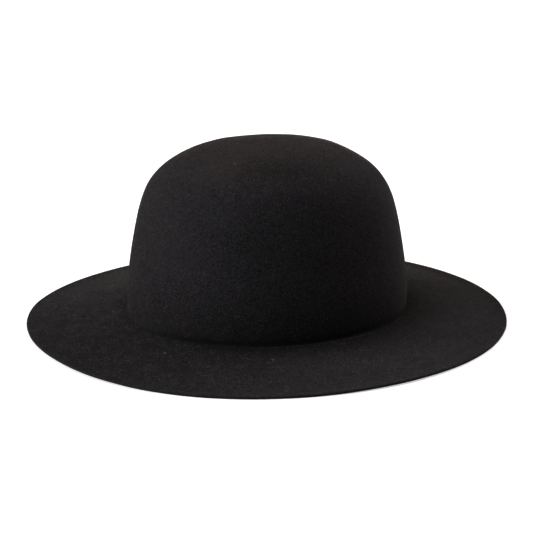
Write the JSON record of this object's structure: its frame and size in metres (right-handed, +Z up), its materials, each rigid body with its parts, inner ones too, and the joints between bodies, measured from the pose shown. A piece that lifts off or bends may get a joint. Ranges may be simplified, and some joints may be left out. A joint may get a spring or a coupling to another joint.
{
  "type": "wide-brim felt hat",
  "caption": "Wide-brim felt hat with a tall round uncreased crown and a gently sloping brim with a raw cut edge, blocked in one piece and hollow for a head.",
  "frame": {"origin": "on the surface that the brim's edge rests on, under the middle of the hat", "axes": "+Z up through the crown, +Y from the hat's front to its back, +X from the wearer's right side to the left"},
  "size_m": [0.3116, 0.3444, 0.134],
  "materials": {
    "felt": "matte black wool felt with a short nap"
  },
  "bodies": {
    "root": {"felt_body": "felt"}
  },
  "joints": []
}
